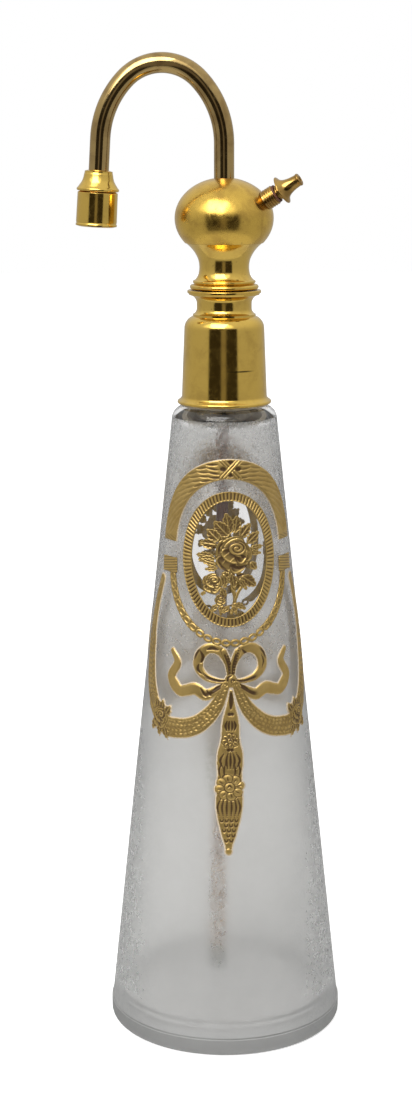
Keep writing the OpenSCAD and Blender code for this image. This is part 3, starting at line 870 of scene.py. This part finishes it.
def knots_and_chain():
    """The lined knots at both sides, and the chain that hangs between them."""
    relief = Relief(-22, 22.5, 105, 130)
    mid = 126.0

    def base(s, z):
        inside = np.minimum(oval(s, z, 0, mid, 17.15, 19.35), -oval(s, z, 0, mid, 15.1, 17.3))
        ridge = stripe(inside - 0.12, 0.16)
        inside = np.minimum(inside, np.minimum(125.4 - z, z - 110.4))
        return inside, 0.05 + 0.1 * ridge, 0.42 * (1 - ridge)

    relief.lay((-18, 18, 106, 126), base)
    for s, z, way in zip(*along_oval(16.15, 18.35, mid, 46)):
        def link(gs, gz, s=s, z=z, turn=math.radians(way)):
            u, v = turned_to(gs, gz, s, z, turn)
            inside = 0.3 - np.abs(oval(u, v, 0, 0, 0.95, 0.66))
            return inside, 0.22 * smooth(0.4 + inside / 0.3), 0.3 * (inside < 0.1)

        if z < 125:
            relief.lay(box_round(s, z, 1.5), link, outline=0.2)
    for side in (-1, 1):
        def knot(s, z, side=side, mid_s=side * 17.3):
            inside = np.minimum(2.7 - np.abs(s - mid_s), 1.9 - np.abs(z - 126.4))
            hatch = stripe((z * 1.5 + side * s * 0.25) % 1 - 0.5, 0.28, 1.3)
            return inside, 0.24 - 0.12 * hatch, 0.65 * hatch

        relief.lay(box_round(side * 17.3, 126.5, 3, 2.5), knot)
    return relief


# Middle lines of the bow's loop, its tail and the garland on the right side
BOW_LOOP = [(0.4, 98.6), (0.8, 102.6), (2.6, 105.6), (5.4, 106.3), (7.8, 104.4), (8.3, 101.4), (6.4, 99.0),
            (3.2, 98.0), (0.6, 98.0)]
BOW_TAIL = [(0.8, 97.6), (3.8, 95.6), (6.5, 94.4), (9.2, 95.7), (11.6, 95.1), (14.0, 94.9), (16.3, 98.0),
            (14.3, 101.8), (15.8, 104.6)]
SWAG = [(1.2, 97.1), (3.9, 91.4), (7.0, 87.9), (10.0, 86.0), (13.6, 85.1), (18.6, 85.3), (23.2, 89.8),
        (25.2, 95.0), (25.8, 101.0), (25.5, 107.0), (24.4, 112.0), (22.9, 116.4), (20.4, 122.4)]

# Painted shade and painted dark reflection on the bow, drawn as dark lines, each with its half width
BOW_SHADOW_LINES = [
    ([(-0.2, 99.4), (-0.5, 103.0), (-1.0, 106.4)], 0.4), ([(0.6, 99.4), (1.2, 103.0), (2.2, 106.4)], 0.4),
    ([(-7.4, 99.9), (-5.2, 98.6), (-2.6, 98.1), (-0.6, 98.4)], 0.4),
    ([(0.8, 98.4), (3.4, 98.0), (6.2, 98.7)], 0.34), ([(-7.6, 105.4), (-7.0, 104.0), (-7.5, 102.6)], 0.5),
    ([(-5.8, 106.0), (-4.6, 106.4), (-3.2, 106.0)], 0.5),
    ([(2.9, 106.0), (3.9, 104.9), (4.4, 104.4)], 0.42),
    ([(-8.2, 102.0), (-8.4, 100.8), (-7.6, 99.8)], 0.42), ([(-7.7, 95.9), (-6.8, 94.6), (-6.4, 94.0)], 0.4),
    ([(-6.2, 95.6), (-5.5, 94.6), (-5.0, 94.2)], 0.3), ([(-4.6, 95.5), (-3.2, 96.6), (-1.4, 97.4)], 0.36),
    ([(4.6, 95.5), (3.2, 96.6), (1.4, 97.4)], 0.36), ([(8.0, 104.4), (8.6, 102.6), (8.2, 101.0)], 0.24)]


def mirrored(points, side):
    """Points of the right side, or of the left where side is -1."""
    return [(side * s, z) for s, z in points]


def bow():
    """The ribbon bow with its loops, curled tails and knot."""
    relief = Relief(-19, 19, 91, 109, 0.24)
    for side in (-1, 1):
        # The dark fold lines on the tails and loops paint shade and dark reflection on the ribbon.
        relief.stroke(mirrored(BOW_TAIL, side), [0.45, 1.0, 1.45, 1.5, 1.35, 1.6, 1.2, 1.1, 0.7],
                      fold_shades=[(0.0, 0.3, 0.1 * side, 0.42), (0.19, 0.24, 0.6, 0.5), (0.27, 0.31, -0.5, 0.6)])
        relief.stroke(mirrored(BOW_LOOP, side), [0.4, 0.75, 1.1, 1.25, 1.3, 1.3, 1.0, 0.7, 0.4], 0.22,
                      fold_shades=[(0.0, 0.3, 0.0, 0.42), (0.26, 0.36, 0.55 * side, 0.5),
                             (0.44, 0.62, 0.75 * side, 0.3), (0.66, 0.74, 0.5 * side, 0.5),
                             (0.72, 1.0, 0.05, 0.5)])
        relief.stroke([(side * 0.3, 98.4), (side * 0.6, 102), (side * 1.7, 105.6)], [0.4, 0.6, 0.7], 0.24,
                      fold_shades=[(0.0, 0.95, 0.1, 0.45)])
    for line, half in BOW_SHADOW_LINES:
        relief.cut(line, half)
    relief.knob(0, 98.1, 1.55, 1.75, dark_edge=0.7)
    relief.cut([(-0.9, 97.2), (-0.7, 98.8), (0.1, 99.3)], 0.3)
    relief.cut([(0.0, 97.0), (0.8, 97.3), (0.7, 98.3), (0.1, 98.2), (0.1, 97.5)], 0.24)
    return relief


def swags():
    """The garlands that hang from the bow and climb at both sides."""
    relief = Relief(-28.8, 28.8, 81, 125, 0.26)
    for side in (-1, 1):
        path = mirrored(SWAG, side)
        relief.stroke(path[8:], [2.3, 1.9, 1.5, 1.2, 1.0], 0.16, lines=0.5)
        relief.stroke(path[6:10], [2.3, 2.4, 2.3, 2.1], 0.18, dots=0.5)
        relief.stroke(path[:7], [0.95, 1.6, 2.05, 2.35, 2.5, 2.7, 2.5], 0.18, dots=0.45, lines=0.6)
        for k in range(3):
            relief.leaf(side * (18.6 + 1.3 * k), 87.6 + 0.5 * k, 90 + side * (38 - 26 * k), 3.4, 1.1)
            relief.leaf(side * (19.0 + 1.4 * k), 85.0 + 0.6 * k, -90 + side * (-20 + 26 * k), 3.6, 1.1)
        relief.rose(side * 20.7, 86.6, 2.9, 15)
    return relief


# Heights down the pendant and its half widths there
PENDANT_Z = [95.4, 92, 89, 86, 84, 82, 80, 77, 74.5, 72.5, 70.6, 68.8, 66, 63, 60, 57.6, 56, 55, 53.9]
PENDANT_W = [0.4, 0.75, 1.25, 1.85, 2.2, 2.2, 2.55, 3.15, 3.3, 3.0, 3.1, 3.1, 3.4, 3.3, 2.95, 2.35, 1.8,
             1.0, 0.6]

# Sheaves of engraved lines on the pendant: offsets, top, foot, spread at the middle and half width
PENDANT_LINES = [
    ((-1.1, -0.4, 0.4, 1.1), 87.8, 85.4, 1.15, 0.36), ((-1.9, -0.7, 0.1, 0.9, 1.9), 79.6, 75.6, 1.3, 0.36),
    ((-2.6, -1.4, 1.3, 2.5), 77.0, 73.2, 1.05, 0.3),
    ((-2.6, -1.6, -0.6, 0.5, 1.5, 2.4), 68.2, 63.0, 1.15, 0.34)]


def lean(z):
    """How far the pendant hangs to the side at a height."""
    return -(95 - z) * 0.024


def pendant_scales(relief):
    """Rows of small engraved scales at the pendant's foot."""
    for row in range(5):
        z = 62.2 - 1.3 * row
        wide = float(np.interp(z, PENDANT_Z[::-1], PENDANT_W[::-1])) - 0.7
        count = max(2, int(wide * 1.6))
        for k in range(count):
            s = lean(z) + (k + 0.5 + 0.4 * (row % 2) - count / 2) * 1.25
            scale = ((-0.42, 0.4), (-0.25, -0.15), (0, -0.3), (0.25, -0.15), (0.42, 0.4))
            relief.cut([(s + ds, z + dz) for ds, dz in scale], 0.28, 0.9)


def pendant_flower(relief, z, r):
    """A flower of eight petals round a dark heart."""
    for k in range(8):
        c, d = r * math.cos(math.radians(45 * k + 10)), r * math.sin(math.radians(45 * k + 10))
        relief.knob(lean(z) + 0.68 * c, z + 0.6 * d, 0.33 * r, 0.31 * r, dark_edge=0.6)
        relief.cut([(lean(z) + 0.5 * c, z + 0.45 * d), (lean(z) + 0.8 * c, z + 0.7 * d)], 0.24, 0.8)
    relief.knob(lean(z), z, 0.36 * r, 0.34 * r, 0.34, 0.9)
    relief.cut([(lean(z) - 0.12 * r, z), (lean(z), z + 0.14 * r), (lean(z) + 0.14 * r, z)], 0.24)


def pendant():
    """The drop of leaves and flowers that hangs from the bow's knot."""
    relief = Relief(-6.5, 4.5, 51, 98, 0.34)
    relief.stroke([(lean(z), z) for z in PENDANT_Z], PENDANT_W)
    relief.cut([(lean(95), 95), (lean(93) + 0.05, 93), (lean(91), 91)], 0.6)
    for z, wide in ((89.6, 0.5), (84.4, 0.5), (80.4, 0.6), (73.6, 1.6)):
        for side in (-1, 1):
            relief.cut([(lean(z) + side * wide, z), (lean(z) + side * (wide - 0.35), z - 0.1)], 0.5)
    for offsets, high, low, spread, half in PENDANT_LINES:
        middle = (high + low) / 2
        for off in offsets:
            relief.cut([(lean(high) + off * 0.8, high), (lean(middle) + off * spread, middle),
                        (lean(low) + off * 0.9, low)], half)
    pendant_scales(relief)
    pendant_flower(relief, 70.7, 3.8)
    pendant_flower(relief, 82.7, 2.2)
    relief.knob(lean(54.2), 54.2, 0.8, 0.9)
    return relief


def make_gilding():
    """The gilt motif on the front, and the same on the back."""
    for name, draw in (("medallion", medallion), ("bouquet", bouquet), ("wreath", wreath),
                       ("chain", knots_and_chain), ("bow", bow), ("swags", swags), ("pendant", pendant)):
        relief = draw()
        for face, turn in FACES.items():
            mesh = relief.mesh(f"gilt_{name}_{face}", turn)
            finish_piece(mesh.name, mesh, "bottle", [GILT], sharp=0)


# ---------------------------------------------------------------- brass mount

def lifted(outline, z):
    """An outline whose heights start at z."""
    return [(r, h + z) for r, h in outline]


def collar_outline():
    """The spun collar: flange, skirt, shoulder, waist and flared lip."""
    skirt, skirt_top, sheet = 10.9, 10.2, 0.45
    flange = reach("collar")
    lip = LIP_Z - COLLAR_Z
    out = [(skirt - sheet, 0)]
    out += arc(flange - 0.5, 0.5, 0.5, -90, 80, 8)
    out += arc(skirt + 1.05, 2.15, 1.05, 235, 181, 7)
    out += arc(skirt_top - 3.3, 19.2, 3.3, 1, 70, 12)
    out += arc(8.6, 24.3, 1.6, 248, 182, 8)
    out += arc(9.2, 25.5, 2.2, 179, 97, 10)
    out += rounded([(9.4, lip - 0.95, 0.15), (9.4, lip, 0.25), (8.2, lip, 0.1)], 4)
    out += arc(9.2, 25.5, 2.2 + sheet, 110, 180, 8)
    out += arc(8.6, 24.3, 1.6 + sheet, 180, 248, 6)
    out += arc(skirt_top - 3.3, 19.2, 3.3 - sheet, 70, 0, 8)
    out += [(skirt - sheet, 2.1)]
    return lifted(out, COLLAR_Z)


def pedestal_outline():
    """The waisted pedestal with its two beads and its seat for the ball."""
    seat = 9.6
    out = [(6.02, 0)]
    out += arc(8.15, 0.6, 0.6, -85, 75, 8)
    out += [(7.75, 1.32), (7.62, 1.48)]
    out += arc(7.6, 1.88, 0.40, -70, 70, 6)
    out += flowing([(7.42, 2.36), (6.86, 3.1), (6.46, 4.1), (6.3, 5.4), (6.42, 6.8), (6.75, 7.9),
                    (7.25, 8.85), (7.85, 9.75), (8.7, 10.7), (seat, 11.5)], 5)
    out += flowing([(seat - 0.7, 11.5), (7.9, 10.9), (6.9, 9.8), (6.1, 8.2), (5.6, 7.0)], 3)
    out += [(5.6, 2.3), (4.8, 2.3), (4.8, 1.72), (6.02, 1.72)]
    return lifted(out, PEDESTAL_Z)


def ball_outline():
    """The shell of the flattened ball, open at its top and foot."""
    wall = 0.6
    low = math.degrees(math.asin((SEAT_Z - BALL_Z) / BALL_HALF_H)) + 0.4

    def skin(depth, start, end, count):
        r, half_h = BALL_R - depth, BALL_HALF_H - depth
        angles = np.radians(np.linspace(start, end, count))
        return [(r * math.cos(a), BALL_Z + half_h * math.sin(a)) for a in angles]

    return skin(0, low, 78.4, 48) + skin(wall, 77.6, low - 1.0, 24)


def make_mount():
    """The collar, the pedestal and the ball."""
    for name, outline, body, material, node in (
            ("collar_shell", collar_outline(), "bottle", NICKED, "collar"),
            ("pedestal_shell", pedestal_outline(), "head", POLISHED, "head_pedestal"),
            ("ball_body", ball_outline(), "head", SATIN, "ball_shell")):
        turned_piece(name, outline, 192, body, material, node)


# ---------------------------------------------------------------- swan neck, nozzle and nipple

TUBE_R = 2.55
TUBE_IN_R = 2.05


def swan_path():
    """Centre line of the swan neck, in millimetres in the XZ plane."""
    half_w, top_r, join, lean = 15.5, 12.7, math.radians(43.6), math.radians(3.5)
    side_r = (half_w - top_r * math.cos(join)) / (1 - math.cos(join))
    side = side_r - half_w
    crown = top("swan_neck_tube") - TUBE_R - top_r
    spring = crown - side * math.tan(join)
    path = [(0.0, z) for z in np.arange(bottom("swan_neck_tube"), spring, 1.5)]
    for x, z, r, a, b in (
            (-half_w - side, spring, side_r, 0, join),
            (-half_w, crown, top_r, join, math.pi - join),
            (-half_w + side, spring, side_r, math.pi - join, math.pi - lean)):
        count = int((b - a) * r / 0.8)
        path += [(x + r * math.cos(a + (b - a) * k / count), z + r * math.sin(a + (b - a) * k / count))
                 for k in range(count)]
    end = NOZZLE @ Vector((0, 0, 0)) / MM
    leg = Vector((-half_w + side - side_r * math.cos(lean), spring + side_r * math.sin(lean)))
    down = Vector((end[0], end[2])) - leg
    path += [tuple(leg + down * k / 5) for k in range(5)]
    tip = NOZZLE @ Vector((0, 0, 3.5 * MM)) / MM
    path.append((tip[0], tip[2]))
    return path


def swept_mesh(name, path, outer, inner, segments):
    """A hollow tube along a path in the XZ plane."""
    angles = [TAU * k / segments for k in range(segments)]
    across, last = Vector((0, 1, 0)), len(path) - 1

    def ring(i, radius):
        ahead, behind = path[min(i + 1, last)], path[max(i - 1, 0)]
        along = Vector((ahead[0] - behind[0], 0, ahead[1] - behind[1])).normalized()
        side = Vector((along[2], 0, -along[0]))
        middle = Vector((path[i][0], 0, path[i][1]))
        return [middle + (side * math.cos(a) + across * math.sin(a)) * radius for a in angles]

    there = [ring(i, outer) for i in range(last + 1)]
    back = [ring(i, inner) for i in range(last, -1, -1)]
    return ring_mesh(name, there + back)


def bell_outline():
    """The bell at the end of the swan neck."""
    out = [(2.57, 0)] + rounded([(3.45, 0, 0.2), (3.52, 0.55, 0.3), (3.72, 1.6, 0.8)], 4)
    out += flowing([(3.78, 1.9), (4.05, 2.75), (4.6, 3.65), (5.0, 4.25)], 5)
    out += arc(4.91, 4.8, 0.45, -45, 88, 8)
    out += [(4.0, 5.25), (4.0, 5.5), (3.4, 5.5), (3.4, 3.6), (2.57, 3.6)]
    return out


def cap_outline():
    """The screwed nozzle cap, with a groove and a rim at its end."""
    out = [(4.48, 5.3)] + rounded([(5.05, 5.3, 0.18), (5.07, 5.8, 0.2), (5.15, 12.95, 0.12),
                                   (5.02, 13.15, 0.12), (5.2, 13.45, 0.15), (5.2, 14.2, 0.3)], 4)
    out += rounded([(4.42, 14.2, 0.12), (4.32, 13.9, 0.1), (4.32, 12.5, 0.1), (1.2, 12.5, 0.1),
                    (1.2, 11.9, 0.1), (3.4, 11.9, 0.3), (3.4, 8.9), (4.48, 8.9)], 3)
    return out


def stub_outline():
    """The stub on the ball, with four ribs."""
    pitch = 2.65 / 4
    out = [(1.58, -1.8), (1.95, -1.8), (1.95, -0.35), (2.55, -0.35)]
    for i in range(4):
        z = 0.12 + i * pitch
        out += arc(2.3, z + 0.18, 0.25, -80, 80, 5)
        out += [(2.27, z + pitch - 0.08)]
    out[-1] = (2.3, 2.65)
    out += [(1.58, 2.65)]
    return out


def nipple_outline():
    """The nipple, with a trumpet flange and a bead for the hose."""
    out = [(0.6, 3.0), (1.2, 3.0), (1.2, 3.2)]
    out += rounded([(1.75, 3.2, 0.08), (1.72, 3.65, 0.2), (2.15, 3.8, 0.15), (2.15, 4.3, 0.1)], 3)
    out += flowing([(2.4, 4.52), (2.9, 4.55), (3.45, 4.42)], 3)
    out += arc(3.48, 4.58, 0.14, -80, 60, 5)
    out += flowing([(3.2, 4.86), (2.6, 5.25), (2.12, 5.9), (1.82, 6.8), (1.62, 7.8), (1.52, 8.9)], 4)
    out += rounded([(1.52, 9.3, 0), (1.62, 9.5, 0.1), (1.62, 9.8, 0.15), (1.3, 10.05, 0.2)], 3)
    out += [(0.8, 10.05), (0.6, 9.85)]
    return out


def threaded_piece(name, low, high, crest, pitch, bore, body, place=None):
    """A hollow shank with a rounded helical thread, its ends run out smooth."""
    rows_per_turn = 8
    rows = int((high - low) / pitch * rows_per_turn)
    outline = [(bore, low)] + [(crest, low + (high - low) * i / rows) for i in range(rows + 1)]
    outline += [(bore, high)]

    def winding(angle, r, z):
        if r < crest:
            return 0.0
        ends = float(smooth((z - low) / pitch) * smooth((high - z) / pitch))
        return -0.25 * pitch * (1 - ends * math.cos(TAU * z / pitch - angle))

    mesh = turned_mesh(name, outline, 72, wobble=winding)
    finish_piece(name, mesh, body, [RAW], place=place, sharp=60)


def make_dip_tube():
    """The long tube down the bottle, and the woven gauze sleeve round its foot."""
    tilt = math.radians(0.7)
    pivot = Vector((0, 0, 184 * MM))
    lean = Matrix.Translation(pivot) @ Matrix.Rotation(tilt, 4, "Y") @ Matrix.Translation(-pivot)
    low, high = bottom("dip_tube"), top("dip_tube")
    rows = [(1.5 + 0.03 * math.sin(z * 0.7), z) for z in np.linspace(low + 0.3, high, 60)]
    outline = [(1.0, low), (1.35, low)] + rows + [(1.0, high)]
    turned_piece("dip_pipe", outline, 48, "head", STAINED, "dip_tube", lean)
    low, high = bottom("tube_strainer"), top("tube_strainer")
    outline = [(1.55, low)] + [(1.9, z) for z in np.linspace(low, high, 76)] + [(1.55, high)]

    def weave(angle, r, z):
        return 0.0 if r < 1.7 else 0.09 * math.sin(angle * 14) * math.sin(z * TAU / 0.9)

    mesh = turned_mesh("strainer_gauze", outline, 168, wobble=weave)
    finish_piece("strainer_gauze", mesh, "head", [GAUZE], ["tube_strainer"], lean, sharp=60)


def make_head():
    """The swan neck, the nozzle, the nipple with its stub, and the spigot."""
    tube = swept_mesh("swan_neck", swan_path(), TUBE_R, TUBE_IN_R, 48)
    finish_piece("swan_neck", tube, "head", [TARNISHED], ["swan_neck_tube"])
    for name, outline, segments, body, material, node, place in (
            ("bell_shell", bell_outline(), 96, "head", POLISHED, "nozzle_bell", NOZZLE),
            ("cap_shell", cap_outline(), 96, "nozzle_cap", POLISHED, "nozzle_cap", NOZZLE),
            ("stub_body", stub_outline(), 72, "head", DULL, "inlet_stub", NIPPLE),
            ("nipple_body", nipple_outline(), 72, "nipple", DULL, "hose_nipple", NIPPLE)):
        turned_piece(name, outline, segments, body, material, node, place)
    threaded_piece("bell_thread", 5.3, 7.9, 4.4, 0.8, 3.4, "head", NOZZLE)
    threaded_piece("nipple_thread", 0.35, 3.1, 1.5, 0.7, 0.6, "nipple", NIPPLE)
    low, thread_z, high = bottom("screw_spigot"), 191.9, top("screw_spigot")
    pilot = rounded([(4.6, low, 0), (5.7, low, 0.3), (5.7, thread_z, 0), (4.6, thread_z, 0)], 4)
    turned_piece("spigot_pilot", pilot, 96, "head", RAW, "screw_spigot")
    threaded_piece("spigot_thread", thread_z, high, 6.0, 1.0, 4.6, "head")


# ---------------------------------------------------------------- CAD nodes

def dress_cad():
    """Gives each CAD node the material of its slot, where this file has one."""
    kinds = {"raw_brass": RAW, "stained_tube": STAINED, "gauze": RAW, "plaster": PLASTER, "cork": CORK,
             "fibre": FIBRE, "polished_brass": POLISHED, "tarnished_brass": TARNISHED}
    for part in frame["record"]["subparts"]:
        item = frame["nodes"][part["node"]]
        if part["material_slot"] in kinds:
            item.data.materials.clear()
            item.data.materials.append(kinds[part["material_slot"]])


# ---------------------------------------------------------------- studio

def make_world():
    """A grey studio for reflections, with a lamp above the camera and the dark camera side, on white."""
    world = bpy.data.worlds.new("studio")
    bpy.context.scene.world = world
    world.use_nodes = True
    nodes = world.node_tree.nodes
    way = nodes.new("ShaderNodeTexCoord").outputs["Generated"]
    x, y, z = add("SeparateXYZ", {"Vector": way}).outputs
    azimuth = calc("ARCTAN2", x, times(y, -1.0))
    height = calc("ARCSINE", z)

    def patch(left, right, low, high, soft):
        """A soft-edged share of the sky between two azimuths and two heights, in degrees."""
        left, right, low, high, soft = (math.radians(v) for v in (left, right, low, high, soft))
        sides = times(ramp(azimuth, left - soft, left + soft),
                      ramp(azimuth, right - soft, right + soft, 1.0, 0.0))
        levels = times(ramp(height, low - soft, low + soft),
                       ramp(height, high - soft, high + soft, 1.0, 0.0))
        return times(sides, levels)

    room = blend(ramp(z, -0.2, 0.9), (0.46, 0.46, 0.46), (0.80, 0.80, 0.80))
    room = blend(patch(-66, 26, 26, 52, 7), room, (1.7, 1.7, 1.65))
    room = blend(patch(-44, 37, -38, 17, 3), room, (0.035, 0.03, 0.025))
    room = blend(patch(-9, 5, -34, 14, 3), room, (0.24, 0.22, 0.20))
    path = nodes.new("ShaderNodeLightPath").outputs
    color = blend(path["Is Transmission Ray"], room, (0.90, 0.90, 0.90))
    color = blend(path["Is Camera Ray"], color, (1.0, 1.0, 1.0))
    set_inputs(nodes["Background"], {"Color": color, "Strength": 1.0})


def make_floor():
    """A pale floor: the camera sees one sheet, and the glass and the brass smaller ones just under it."""
    sheets = (("floor", "camera", 0.80, 0.6, 3.0), ("floor_pale", "glass", 0.78, 0.24, 0.2),
              ("floor_grey", "brass", 0.80, 0.24, 0.2))
    for number, (name, seen_by, grey, glow, radius) in enumerate(sheets):
        bm = bmesh.new()
        bmesh.ops.create_circle(bm, cap_ends=True, radius=radius, segments=96)
        mesh = bpy.data.meshes.new(name)
        bm.to_mesh(mesh)
        bm.free()
        made, place = new_material(name)
        color = blend(noise(place, 9, 3), (grey,) * 3, (grey * 0.97,) * 3)
        mesh.materials.append(finished(made, color, 0.9, Specular_IOR_Level=0.1, Emission_Color=(1, 1, 1),
                                       Emission_Strength=glow))
        floor = new_object(name, mesh)
        floor.location.z = -0.2 * number * MM
        floor.visible_camera = seen_by == "camera"
        floor.visible_transmission = floor.visible_diffuse = seen_by == "glass"
        floor.visible_glossy = seen_by == "brass"
        floor.visible_shadow = seen_by != "camera"


def make_lights():
    """One large soft lamp above and to the left of the camera."""
    data = bpy.data.lights.new("soft_lamp", "AREA")
    data.energy = 7.0
    data.size = 0.7
    lamp = new_object("soft_lamp", data)
    lamp.location = (-0.25, -0.65, 0.85)
    lamp.rotation_euler = (Vector((0, 0, 0.12)) - lamp.location).to_track_quat("-Z", "Y").to_euler()
    lamp.visible_camera = False


def make_camera():
    """Half a metre in front and a little above, looking slightly down."""
    data = bpy.data.cameras.new("camera")
    data.sensor_width = 36.0
    data.lens = 64.6
    data.clip_start, data.clip_end = 0.01, 20.0
    camera = new_object("camera", data)
    camera.location = (0, -0.504, 0.233)
    turn = Matrix()
    for angle, axis in ((0.55, "Z"), (90 - 11.8, "X"), (-0.18, "Z")):
        turn = turn @ Matrix.Rotation(math.radians(angle), 4, axis)
    camera.rotation_euler = turn.to_euler()
    bpy.context.scene.camera = camera


make_camera()
make_world()
make_floor()
make_lights()
make_bottle()
make_gilding()
make_mount()
make_head()
make_dip_tube()
dress_cad()
bpy.context.scene.view_settings.view_transform = "Standard"
